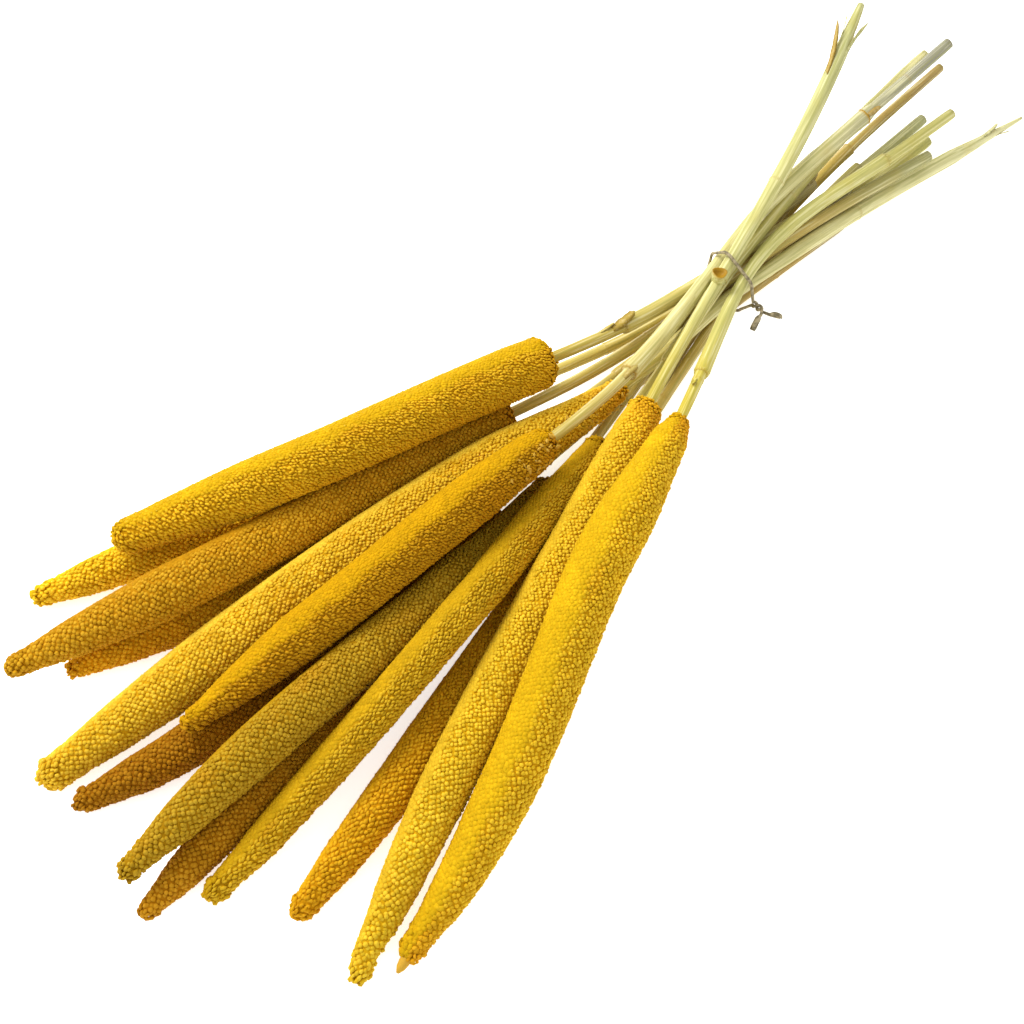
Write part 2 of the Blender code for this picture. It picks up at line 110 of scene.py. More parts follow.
# Loose chaff: how far up a head and round it the flakes lie, and their lengths, width and thickness.
CHAFF_REACH = 0.24
CHAFF_ANGLES = (-0.8, 1.4)
CHAFF_LENGTHS = (0.0010, 0.0020)
CHAFF_WIDTH = 0.55
CHAFF_THICKNESS = 0.0004
CHAFF_SINK = 0.0002
CHAFF_TILT = 0.35

# The bare stalk end past a tip: the head that has one, and places from that tip with the radius there.
STUB_HEAD = 13
STUB_PLACES = (-0.010, 0.0, 0.0035, 0.0050)
STUB_RADII = (0.0026, 0.0024, 0.0018, 0.0006)
STUB_ROWS = 7
STUB_SIDES = 8

# Stems: the tube with its ribs and its lapped edge, the lips of its sheath mouths, its joints and its cut end.
TUBE_SIDES = 22
TUBE_STEP = 0.0040
RIBS = 6
RIB_DEPTH = 0.045
RIB_SHIFT = 0.6
OVERLAP_DEPTH = 0.10
OVERLAP_SHIFT = 0.23
OVERLAP_WIND = 0.8
SHEATH_RADIUS = 0.0030
LIP = 0.0005
LIP_ROOM = 0.0008
RIM_LENGTH = 0.0011
FLARE_LENGTH = 0.008
JOINT_WIDTH = 0.0011
JOINT_SWELL = 0.07
JOINT_BROWN = 0.35
CUT_DEPTH = 0.0012
CUT_RADII = (0.94, 0.74, 0.60)
CUT_BROWN = (0.2, 0.5, 1.0)

# Torn scales.
BLADE_ROWS = 10
BLADE_THICKNESS = 0.0003

# The broken sheath mouth: its stem and place, its sides, its lean, its seat in radii, its waves, and its profile as
# reach, rise and how brown it is.
MOUTH_STEM = 12
MOUTH_PLACE = 0.90
MOUTH_SIDES = 14
MOUTH_LEAN = 0.25
MOUTH_SEAT = 1.30
MOUTH_WAVE = 0.10
MOUTH_PROFILE = (
    (0.0028, -0.0060, 0.0),
    (0.0035, 0.0004, 0.15),
    (0.0038, 0.0028, 0.6),
    (0.0033, 0.0029, 1.0),
    (0.0027, 0.0013, 1.0),
    (0.0014, 0.0004, 1.0),
)


def linear(red, green, blue):
    """A linear colour with alpha from the 0 to 255 steps of a screen colour."""
    steps = np.array((red, green, blue)) / 255.0
    light = np.where(steps > 0.04045, ((steps + 0.055) / 1.055) ** 2.4, steps / 12.92)
    return (*(float(x) for x in light), 1.0)


# Each head: the dye on its grains, the colour of the smooth strip along its upper flank, which is painted light on the
# flank that the key light falls on over real fuzz, and the angle in degrees where that strip starts, how much its tip
# narrows and its base slopes, how orange its base and its tip are, how long its grains are for their width, how they
# lean and turn, the size of their cells, its flakes of loose chaff, and its material slot.
HEADS = {
    1: dict(dye=(220, 168, 18), strip=(206, 162, 8), start=88.0, point=0.3, slope=0.05, base=0.20, tip=0.0,
            long=2.1, lean=0.45, turn=0.60, cell=0.86, chaff=0, slot="grain_ochre"),
    2: dict(dye=(228, 180, 22), strip=(226, 188, 18), start=128.0, point=1.0, slope=0.1, base=0.20, tip=0.0,
            long=1.3, lean=0.25, turn=0.20, cell=0.95, chaff=0, slot="grain_orange"),
    3: dict(dye=(198, 144, 16), strip=(184, 130, 10), start=118.0, point=1.0, slope=0.1, base=0.25, tip=0.0,
            long=1.0, lean=0.12, turn=0.0, cell=1.0, chaff=0, slot="grain_ochre"),
    4: dict(dye=(216, 154, 14), strip=(214, 152, 10), start=150.0, point=1.0, slope=0.1, base=0.30, tip=0.0,
            long=1.05, lean=0.15, turn=0.0, cell=1.0, chaff=0, slot="grain_orange"),
    5: dict(dye=(222, 174, 27), strip=(238, 198, 56), start=126.0, point=0.6, slope=0.25, base=0.60, tip=0.0,
            long=1.15, lean=0.18, turn=0.10, cell=0.98, chaff=16, slot="grain_bright"),
    6: dict(dye=(190, 136, 10), strip=(206, 156, 4), start=80.0, point=0.7, slope=0.25, base=0.15, tip=0.0,
            long=2.0, lean=0.50, turn=0.50, cell=0.88, chaff=50, slot="grain_gold"),
    7: dict(dye=(164, 108, 8), strip=(160, 104, 6), start=140.0, point=1.2, slope=0.1, base=0.20, tip=0.0,
            long=1.05, lean=0.15, turn=0.0, cell=1.0, chaff=0, slot="grain_orange"),
    8: dict(dye=(180, 138, 18), strip=(182, 138, 10), start=140.0, point=1.2, slope=0.1, base=0.10, tip=0.0,
            long=1.0, lean=0.10, turn=0.0, cell=1.0, chaff=0, slot="grain_ochre"),
    9: dict(dye=(184, 126, 12), strip=(162, 106, 6), start=140.0, point=1.2, slope=0.1, base=0.20, tip=0.0,
            long=1.0, lean=0.12, turn=0.0, cell=1.0, chaff=0, slot="grain_orange"),
    10: dict(dye=(208, 162, 20), strip=(200, 156, 14), start=94.0, point=0.9, slope=0.1, base=0.20, tip=0.0,
             long=1.9, lean=0.35, turn=0.10, cell=0.92, chaff=0, slot="grain_gold"),
    11: dict(dye=(216, 158, 14), strip=(222, 168, 14), start=134.0, point=0.9, slope=0.1, base=0.30, tip=0.15,
             long=1.6, lean=0.40, turn=0.30, cell=1.0, chaff=0, slot="grain_orange"),
    12: dict(dye=(224, 180, 26), strip=(222, 180, 38), start=126.0, point=1.2, slope=0.15, base=0.55, tip=0.0,
             long=1.0, lean=0.12, turn=0.0, cell=1.0, chaff=0, slot="grain_bright"),
    13: dict(dye=(220, 172, 20), strip=(216, 172, 14), start=84.0, point=1.0, slope=0.42, base=0.60, tip=0.45,
             long=1.05, lean=0.15, turn=0.0, cell=1.0, chaff=0, slot="grain_bright"),
}
# Painted shade: each grain's foot, and the core under the grains, take the dye darkened by these shares, for the
# crevices between grains.
CREVICE_SHADE_SHARE = (0.84, 0.76, 0.36)
# Painted highlight: each grain's top takes the dye lightened and paled by these shares.
TOP_HIGHLIGHT_SHARE = (1.08, 1.20, 3.2)
ORANGE = linear(216, 136, 6)
CHAFF = linear(210, 166, 62)
RIM_BROWN = linear(162, 122, 4)
STEM_GREEN = linear(150, 150, 78)
STEM_STREAK = linear(236, 230, 176)

# Each stem: its colours by the head, in the middle and at the cut end; its sheath mouths as places before and behind
# the lip, with how far the lip flares and how brown it is; its joints; and its torn scales as place, way, angle in
# degrees, length, width, lift and bend in millimetres, and how brown they are. Places count 0 at the head, 1 at the
# tie and 2 at the cut end.
# The middle colours of the stems that lie low in the bunch (2, 3, 4, 7, 8, 9, 11) are darker and browner than those on
# top, partly as painted shade and partly as their own colour.
STEMS = {
    1: dict(near=(178, 152, 52), middle=(194, 180, 104), far=(164, 158, 108), mouths=((0.40, 0.43, 0.10, 0.5),),
            joints=(), scales=((0.36, 1, 95.0, 14.0, 5.0, 3.0, -1.5, 0.6), (0.30, 1, 60.0, 9.0, 3.0, 1.5, 0.5, 0.3))),
    2: dict(near=(190, 168, 74), middle=(182, 162, 84), far=(160, 160, 112), mouths=((0.47, 0.5, 0.05, 0.4),),
            joints=(1.5,), scales=()),
    3: dict(near=(188, 166, 72), middle=(186, 160, 82), far=(154, 150, 96), mouths=(), joints=(0.62,), scales=()),
    4: dict(near=(190, 166, 74), middle=(180, 158, 80), far=(180, 174, 102), mouths=((0.5, 0.53, 0.08, 0.4),),
            joints=(1.62,), scales=()),
    5: dict(near=(192, 172, 78), middle=(202, 194, 130), far=(210, 205, 150), mouths=(), joints=(1.42,),
            scales=((1.86, 1, 70.0, 12.0, 3.0, 2.5, -1.0, 0.2), (1.90, 1, 200.0, 10.0, 2.4, 1.5, 1.0, 0.3))),
    6: dict(near=(186, 164, 78), middle=(204, 196, 132), far=(142, 139, 120),
            mouths=((0.38, 0.41, 0.08, 0.8), (1.68, 1.66, 0.12, 1.0)), joints=(1.83,),
            scales=((0.37, 1, 110.0, 8.0, 3.4, 1.8, 0.6, 0.5), (1.66, 1, 130.0, 8.0, 3.0, 2.0, 0.5, 0.7))),
    7: dict(near=(184, 160, 66), middle=(162, 132, 58), far=(134, 106, 46), mouths=(), joints=(1.4,), scales=()),
    8: dict(near=(186, 162, 70), middle=(184, 160, 82), far=(166, 150, 98), mouths=((0.40, 0.43, 0.06, 0.4),),
            joints=(), scales=((1.92, 1, 80.0, 9.0, 4.0, 3.0, 1.0, 0.4),)),
    9: dict(near=(184, 158, 66), middle=(178, 150, 72), far=(152, 126, 68),
            mouths=((0.55, 0.58, 0.05, 0.4), (1.62, 1.60, 0.08, 0.5)), joints=(), scales=()),
    10: dict(near=(190, 170, 76), middle=(190, 180, 104), far=(196, 188, 128), mouths=((0.45, 0.48, 0.06, 0.4),),
             joints=(1.35,), scales=()),
    11: dict(near=(186, 160, 70), middle=(178, 152, 74), far=(158, 146, 88), mouths=(), joints=(0.5,), scales=()),
    12: dict(near=(186, 168, 58), middle=(194, 188, 118), far=(178, 177, 118), mouths=((0.88, 0.91, 0.30, 0.5),),
             joints=(1.33,),
             scales=((1.72, 1, 60.0, 30.0, 3.2, 6.0, -3.0, 0.8), (1.80, 1, 150.0, 24.0, 2.6, 4.0, 3.0, 0.2),
                     (1.86, 1, 20.0, 16.0, 2.2, 3.0, 1.0, 0.1))),
    13: dict(near=(190, 170, 44), middle=(190, 184, 108), far=(192, 184, 108),
             mouths=((0.30, 0.33, 0.10, 0.6), (1.72, 1.70, 0.06, 0.4)), joints=(0.28, 1.71),
             scales=((0.27, -1, 70.0, 6.0, 2.6, 1.6, 0.4, 0.2),)),
}

# The two papery ends of the tie: where each starts and ends, and its width; the rest holds for both.
TIE_ENDS = (
    ((0.0984, -0.0280, 0.0190), (0.0902, -0.0300, 0.0168), 0.0034),
    ((0.1034, -0.0302, 0.0168), (0.1078, -0.0352, 0.0148), 0.0030),
)
TIE_ROWS = 8
TIE_SAG = 0.0012
TIE_FACING = (0.25, -0.35, 0.9)
TIE_THICKNESS = 0.0005

# The stage: the floor's half side and glow, the room's light, and the key light's place as shares of the camera's
# right, its way ahead and up.
FLOOR_HALF = 4.0
FLOOR_GLOW = 0.65
ROOM_LIGHT = 0.92
KEY_PLACE = (-0.75, 0.55, 0.95)
KEY_SIZE = 0.6
KEY_POWER = 18.0


class Field:
    """A number that changes over a surface: one output socket, whose arithmetic adds Math nodes."""

    def __init__(self, finish, socket):
        self.finish = finish
        self.socket = socket

    def __add__(self, other):
        return self.finish.math("ADD", self, other)

    __radd__ = __add__

    def __mul__(self, other):
        return self.finish.math("MULTIPLY", self, other)

    __rmul__ = __mul__

    def __sub__(self, other):
        return self.finish.math("SUBTRACT", self, other)

    def __rsub__(self, other):
        return self.finish.math("SUBTRACT", other, self)

    def between(self, low, high):
        """0 below low, 1 above high, smooth in between."""
        settings = {"interpolation_type": "SMOOTHSTEP"}
        return self.finish.node("ShaderNodeMapRange", settings, {"Value": self, "From Min": low, "From Max": high})


class Finish:
    """One material, built node by node."""

    def __init__(self, name, **constants):
        self.material = bpy.data.materials.new(name)
        self.material.use_nodes = True
        self.tree = self.material.node_tree
        self.shader = self.tree.nodes["Principled BSDF"]
        for socket, value in constants.items():
            self.shader.inputs[socket.replace("_", " ").title().replace("Ior", "IOR")].default_value = value

    def node(self, kind, settings, values, output=0):
        """Add a node: its settings are set first, then the value or the link of each socket."""
        made = self.tree.nodes.new(kind)
        for name, value in settings.items():
            setattr(made, name, value)
        for name, value in values.items():
            if isinstance(value, Field):
                self.tree.links.new(value.socket, made.inputs[name])
            else:
                made.inputs[name].default_value = value
        return Field(self, made.outputs[output])

    def math(self, operation, first, second):
        """One step of arithmetic."""
        return self.node("ShaderNodeMath", {"operation": operation}, {0: first, 1: second})

    def mix(self, share, first, second, blend="MIX"):
        """A colour between two colours."""
        settings = {"data_type": "RGBA", "blend_type": blend}
        return self.node("ShaderNodeMix", settings, {0: share, 6: first, 7: second}, 2)

    def stored(self, name, output="Fac"):
        """A value that the mesh holds at its points."""
        return self.node("ShaderNodeAttribute", {"attribute_name": name}, {}, output)

    def noise(self, scale, detail, place=None):
        """Cloudy noise over the object's coordinates or over a given place."""
        where = place or self.node("ShaderNodeTexCoord", {}, {}, "Object")
        return self.node("ShaderNodeTexNoise", {}, {"Vector": where, "Scale": scale, "Detail": detail})

    def bump(self, height, distance, strength=1.0):
        """Feed the shader's normal with small relief."""
        raised = self.node("ShaderNodeBump", {}, {"Height": height, "Distance": distance, "Strength": strength})
        self.feed("Normal", raised)

    def feed(self, socket, field):
        """Link a value to one of the shader's sockets."""
        self.tree.links.new(field.socket, self.shader.inputs[socket])


def make_piece(name, points, faces, finish, replaced, values):
    """A mesh object from whole arrays: points, a list of face arrays, and named values at its points."""
    mesh = bpy.data.meshes.new(name)
    corners = np.concatenate([f.ravel() for f in faces])
    sizes = np.concatenate([np.full(len(f), f.shape[1]) for f in faces])
    mesh.vertices.add(len(points))
    mesh.vertices.foreach_set("co", points.astype(np.float32).ravel())
    mesh.loops.add(len(corners))
    mesh.loops.foreach_set("vertex_index", corners.astype(np.int32))
    mesh.polygons.add(len(sizes))
    mesh.polygons.foreach_set("loop_start", np.concatenate(((0,), np.cumsum(sizes)[:-1])).astype(np.int32))
    mesh.polygons.foreach_set("use_smooth", np.ones(len(sizes), bool))
    mesh.update(calc_edges=True)
    for key, value in values.items():
        kind, slot_name = ("FLOAT", "value") if value.ndim == 1 else ("FLOAT_VECTOR", "vector")
        held = mesh.attributes.new(key, kind, "POINT")
        held.data.foreach_set(slot_name, value.astype(np.float32).ravel())
    mesh.materials.append(finish.material)
    piece = bpy.data.objects.new(name, mesh)
    bpy.context.scene.collection.objects.link(piece)
    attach(piece, "root")
    for node in replaced:
        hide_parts(node)
    return piece


def merged(node):
    """The places of a CAD node's corners with doubles merged, and its triangles."""
    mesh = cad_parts[node].data
    loose = np.zeros(len(mesh.vertices) * 3)
    mesh.vertices.foreach_get("co", loose)
    loose = loose.reshape(-1, 3)
    cells, index = np.unique(np.round(loose / MERGE).astype(np.int64), axis=0, return_inverse=True)
    index = index.ravel()
    places = np.zeros((len(cells), 3))
    places[index] = loose
    corners = np.zeros(len(mesh.loops), np.int32)
    mesh.loops.foreach_get("vertex_index", corners)
    return places, index[corners].reshape(-1, 3)


def rings(places, triangles, front):
    """The rings of corners met one edge further from the first ones at each step."""
    edges = np.concatenate((triangles[:, :2], triangles[:, 1:], triangles[:, ::2]))
    seen = np.zeros(len(places), bool)
    found = []
    while len(front):
        found.append(places[front])
        seen[front] = True
        near = np.unique(edges[np.isin(edges, front).any(1)])
        front = near[~seen[near]]
    return found


def head_rings(node):
    """Centres and radii of a head's rings from its tip to the rim of its socket."""
    places, triangles = merged(node)
    edges = np.unique(np.sort(np.concatenate((triangles[:, :2], triangles[:, 1:], triangles[:, ::2])), axis=1), axis=0)
    poles = np.flatnonzero(np.bincount(edges.ravel()) == HEAD_SIDES)
    found = rings(places, triangles, poles[[places[poles, 0].argmin()]])
    if len(found[-1]) < HEAD_SIDES:
        found.pop()
    found.pop()
    centres = np.array([ring.mean(0) for ring in found])
    radii = np.array([np.linalg.norm(ring - ring.mean(0), axis=1).max() for ring in found])
    return centres[::-1], radii[::-1]


def stem_rings(node):
    """Centres and radii of a stem's rings from its end in the head to its cut end."""
    places, triangles = merged(node)
    far = places[places[:, 0].argmax()]
    found = rings(places, triangles, np.argsort(np.linalg.norm(places - far, axis=1))[:STEM_SIDES])
    centres = np.array([ring.mean(0) for ring in found])
    radii = np.array([np.linalg.norm(ring - ring.mean(0), axis=1).max() for ring in found])
    return centres[::-1], radii[::-1]


def lengths_along(points):
    """Distance along a line of points, from 0."""
    return np.concatenate(((0.0,), np.cumsum(np.linalg.norm(np.diff(points, axis=0), axis=1))))


def curve(knots, points, at):
    """Points on a smooth curve through knots: cubic pieces whose slopes are those of the neighbours."""
    slope = np.gradient(points, knots, axis=0)
    k = np.clip(np.searchsorted(knots, at, side="right") - 1, 0, len(knots) - 2)
    span = (knots[k + 1] - knots[k])[:, None]
    t = (at - knots[k])[:, None] / span
    start = (1.0 + 2.0 * t) * (1.0 - t) ** 2 * points[k] + t * (1.0 - t) ** 2 * span * slope[k]
    end = t**2 * (3.0 - 2.0 * t) * points[k + 1] + t**2 * (t - 1.0) * span * slope[k + 1]
    return start + end


def unit(vectors):
    """Vectors of length one."""
    return vectors / np.linalg.norm(vectors, axis=-1, keepdims=True)


class Line:
    """A stalk's centre line with its radius, and the directions along, beside and above it."""

    def __init__(self, centres, radii):
        self.knots = lengths_along(centres)
        self.centres = centres
        self.radii = radii
        self.length = self.knots[-1]

    def centre(self, at):
        """Points of the centre line."""
        return curve(self.knots, self.centres, at)

    def radius(self, at):
        """The radius, straight between the knots."""
        return np.interp(at, self.knots, self.radii)

    def directions(self, at):
        """Unit vectors along the line, level beside it, and above it."""
        ahead = unit(self.centre(at + LOOK_AHEAD) - self.centre(at - LOOK_AHEAD))
        beside = unit(np.cross((0.0, 0.0, 1.0), ahead))
        return ahead, beside, np.cross(ahead, beside)


def swept(line, at, radius, angles):
    """Rings round a line: each point is the centre plus the radius times cosine beside and sine above."""
    _, beside, above = line.directions(at)
    ring = np.cos(angles)[..., None] * beside[:, None] + np.sin(angles)[..., None] * above[:, None]
    return line.centre(at)[:, None] + radius[..., None] * ring


def grid_faces(rows, columns, start=0):
    """Quads of a grid whose columns close into rings, with a pole point after it at each end as triangles."""
    row, column = np.meshgrid(np.arange(rows - 1), np.arange(columns), indexing="ij")
    after = (column + 1) % columns
    quads = np.stack((row * columns + column, (row + 1) * columns + column,
                      (row + 1) * columns + after, row * columns + after), axis=-1).reshape(-1, 4)
    around = np.arange(columns)
    nearby = (around + 1) % columns
    first = rows * columns
    low = np.stack((np.full(columns, first), around, nearby), axis=1)
    last = (rows - 1) * columns
    high = np.stack((np.full(columns, first + 1), last + nearby, last + around), axis=1)
    return quads[:, ::-1] + start, low[:, ::-1] + start, high[:, ::-1] + start


def smooth(x, low, high):
    """0 below low, 1 above high, with level ends."""
    t = np.clip((x - low) / (high - low), 0.0, 1.0)
    return t * t * (3.0 - 2.0 * t)


def grain_shape():
    """One grain: a ring of four at its foot and a ring of four half a step round at its top, closed at both ends.

    Columns are along, across and out; the foot is at 0 and the top at 1.
    """
    foot = np.arange(4) * TURN / 4
    crown = foot + TURN / 8
    low = np.stack((np.cos(foot), np.sin(foot), np.zeros(4)), axis=1)
    high = np.stack((GRAIN_TOP * np.cos(crown), GRAIN_TOP * np.sin(crown), np.ones(4)), axis=1)
    k = np.arange(4)
    after = (k + 1) % 4
    band = np.concatenate((np.stack((k, after, k + 4), axis=1), np.stack((after, after + 4, k + 4), axis=1)))
    ends = np.array(((0, 3, 2), (0, 2, 1), (4, 5, 6), (4, 6, 7)))
    return np.concatenate((low, high)), np.concatenate((band, ends))


def planted(roots, first, second, out):
    """The grain shape at each root, scaled along three directions whose lengths are its half sizes and height."""
    shape, faces = grain_shape()
    points = roots[:, None] + np.einsum("pk,nkx->npx", shape, np.stack((first, second, out), axis=1))
    points[..., 2] = np.maximum(points[..., 2], FLOOR_LIFT)
    index = (np.arange(len(roots)) * len(shape))[:, None, None] + faces[None]
    return points.reshape(-1, 3), index.reshape(-1, 3), np.tile(shape[:, 2], len(roots))


def tip_taper(share, look):
    """What is left of a head's radius: 1 less its narrowing towards the tip and less its slope at the base."""
    narrow = TIP_NARROW * look["point"] * smooth(share, *TIP_SPAN)
    slope = look["slope"] * (1.0 - smooth(share, 0.0, BASE_SPAN))
    return 1.0 - narrow - slope


def head_skin(line, look):
    """Profile of a head from the stem's rim over the base and belly to the tip: place, radius and skin length."""
    at = np.linspace(0.0, line.length, HEAD_STATIONS)
    radius = line.radius(at) * tip_taper(at / line.length, look)
    skin = np.concatenate(((0.0,), np.cumsum(np.hypot(np.diff(at), np.diff(radius)))))
    return at, radius, skin


def strip_share(angle, start, stray):
    """1 in the smooth strip on a head's upper flank, where the key light falls, 0 outside it, with a wavering edge."""
    round_it = np.mod(angle + stray, TURN)
    inside = smooth(round_it, math.radians(start) - STRIP_EDGE, math.radians(start) + STRIP_EDGE)
    return inside * (1.0 - smooth(round_it, STRIP_END - STRIP_EDGE, STRIP_END + STRIP_EDGE))


def spread(values, each):
    """Named values of whole grains, repeated for the points of each."""
    return {key: np.repeat(value, each) for key, value in values.items()}


def grains_on(line, look, draw):
    """Grains over a head's skin, in the order of a golden-angle spiral.

    Grain k stands at k golden turns, where the skin's area counted in cells from the base is k. A cell grows from
    the base to the tip. Each grain is the grain shape scaled, leant to the tip and moved a little at random; at the
    base grains stand up and turn back to the stem, and in the smooth strip they are wide enough to close up.
    """
    at, radius, skin = head_skin(line, look)
    cell = GRAIN_CELL_BASE + (GRAIN_CELL_TIP - GRAIN_CELL_BASE) * smooth(at / line.length, *GRAIN_GROWTH)
    cell = cell * look["cell"]
    middle = (radius[1:] + radius[:-1]) / 2.0
    share = TURN * middle * np.diff(skin) / ((cell[1:] + cell[:-1]) / 2.0) ** 2
    counted = np.concatenate(((0.0,), np.cumsum(share)))
    total = int(counted[-1])
    order = np.arange(total) + 0.5
    place = np.interp(order, counted, skin) + draw.normal(0.0, GRAIN_STRAY, total)
    s = np.interp(place, skin, at)
    r = np.interp(place, skin, radius)
    size = np.interp(s, at, cell)
    angle = order * GOLDEN_TURN + draw.normal(0.0, GRAIN_STRAY, total) / np.maximum(r, 0.002)
    waver = draw.normal(0.0, STRIP_STRAY, total) + STRIP_WAVE * np.sin(s * STRIP_WAVES)
    fuzz_and_lit_strip = strip_share(angle, look["start"], waver)
    ragged = 1.0 - smooth(s, 0.0, RAGGED_BASE)
    tip = smooth(s / line.length, TIP_START, 1.0)
    tuft = smooth(s / line.length, TUFT_START, 1.0)

    ahead, beside, above = line.directions(s)
    radial = np.cos(angle)[:, None] * beside + np.sin(angle)[:, None] * above
    around = -np.sin(angle)[:, None] * beside + np.cos(angle)[:, None] * above
    rise = np.interp(place + SLOPE_STEP, skin, radius) - np.interp(place - SLOPE_STEP, skin, radius)
    slope = np.clip(rise / (2.0 * SLOPE_STEP), -STEEPEST, STEEPEST)[:, None]
    level = np.sqrt(1.0 - slope**2)
    out = level * radial - slope * ahead
    along = level * ahead + slope * radial
    tilt = draw.normal(look["lean"], TILT_STRAY, total) * (1.0 - 0.5 * fuzz_and_lit_strip) - RAGGED_TILT * ragged
    lean = unit(out + np.clip(tilt, *TILT_LIMITS)[:, None] * along)
    flat = unit(along - (along * lean).sum(1, keepdims=True) * lean)
    twist = (look["turn"] + draw.normal(0.0, TWIST_STRAY, total))[:, None]
    first = np.cos(twist) * flat + np.sin(twist) * around
    second = np.cross(lean, first)

    longer = math.sqrt(look["long"])
    longer = longer + (1.0 - longer) * 0.5 * fuzz_and_lit_strip + TUFT_LONGER * tuft
    bulk = size * draw.uniform(*GRAIN_BULKS, total) * GRAIN_WIDTH * (1.0 + STRIP_CLOSER * fuzz_and_lit_strip)
    height = GRAIN_HEIGHT * (size / GRAIN_CELL_TIP) * draw.uniform(*GRAIN_HEIGHTS, total)
    lift = ragged * draw.uniform(-0.1, 1.0, total) * RAGGED_LIFT + tip * draw.normal(0.0, TIP_LIFT, total)
    spike = tuft * (draw.random(total) > SPIKE_FROM)
    height = height * (1.0 + SPIKE_TALLER * spike)
    bulk = bulk * (1.0 - SPIKE_THINNER * spike)
    lift += spike * SPIKE_LIFT
    lift += (1.0 - fuzz_and_lit_strip) * draw.normal(0.0, GRAIN_UNEVEN, total)
    root = line.centre(s) + radial * r[:, None] - lean * (height + GRAIN_SINK - lift)[:, None]
    points, faces, rises = planted(root, first * (bulk * longer)[:, None], second * (bulk / longer)[:, None],
                                   lean * height[:, None])
    values = {"tone": draw.random(total), "along": s / line.length, "fuzz_and_lit_strip": fuzz_and_lit_strip, "pale": np.zeros(total)}
    return points, faces, {"rise": rises, **spread(values, len(points) // total)}


def chaff_on(line, count, draw):
    """Thin pale flakes of chaff that lie loose on a head near its base, each at a random place and turn."""
    s = line.length * draw.uniform(0.0, CHAFF_REACH, count) ** 1.3
    angle = draw.uniform(*CHAFF_ANGLES, count)
    _, beside, above = line.directions(s)
    radial = np.cos(angle)[:, None] * beside + np.sin(angle)[:, None] * above
    lean = unit(radial + draw.normal(0.0, CHAFF_TILT, (count, 3)))
    first = unit(np.cross(lean, draw.normal(0.0, 1.0, (count, 3))))
    second = np.cross(lean, first)
    length = draw.uniform(*CHAFF_LENGTHS, count)[:, None]
    root = line.centre(s) + radial * (line.radius(s) - CHAFF_SINK)[:, None]
    points, faces, rises = planted(root, first * length, second * length * CHAFF_WIDTH, lean * CHAFF_THICKNESS)
    values = {"tone": draw.random(count), "along": s / line.length, "fuzz_and_lit_strip": np.zeros(count), "pale": np.ones(count)}
    return points, faces, {"rise": rises, **spread(values, len(points) // count)}


def core_of(line, look):
    """The body under the grains: the head's skin drawn in by a depth that is less in the smooth strip.

    It is closed at both ends.
    """
    rows = int(line.length / CORE_STEP)
    at = np.linspace(CORE_START, line.length - CORE_DEPTH, rows)
    angles = np.tile(np.arange(CORE_SIDES) * TURN / CORE_SIDES, (rows, 1))
    shown = strip_share(angles, look["start"], STRIP_WAVE * np.sin(at * STRIP_WAVES)[:, None])
    body = 1.0 - smooth(at / line.length, *CORE_TIP)
    depth = CORE_DEPTH + (STRIP_DEPTH - CORE_DEPTH) * shown * body[:, None]
    radius = np.maximum((line.radius(at) * tip_taper(at / line.length, look))[:, None] - depth, CORE_LEAST)
    points = swept(line, at, radius, angles).reshape(-1, 3)
    points = np.concatenate((points, line.centre(at[[0, -1]])))
    points[:, 2] = np.maximum(points[:, 2], FLOOR_LIFT * 2.0)
    total = len(points)
    share = np.concatenate((np.repeat(at / line.length, CORE_SIDES), (0.0, 1.0)))
    fuzz_and_lit_strip = np.concatenate((shown.ravel(), (0.0, 0.0)))
    values = {"rise": np.zeros(total), "tone": np.full(total, 0.5), "along": share, "fuzz_and_lit_strip": fuzz_and_lit_strip,
              "pale": np.zeros(total)}
    return points, grid_faces(rows, CORE_SIDES), values


def together(*shapes):
    """Several shapes as one: points end to end, faces counted on, values end to end."""
    points = np.concatenate([shape[0] for shape in shapes])
    starts = np.cumsum([0] + [len(shape[0]) for shape in shapes[:-1]])
    faces = []
    for shape, start in zip(shapes, starts):
        faces += [part + start for part in (shape[1] if isinstance(shape[1], (tuple, list)) else (shape[1],))]
    return points, faces, {key: np.concatenate([shape[2][key] for shape in shapes]) for key in shapes[0][2]}


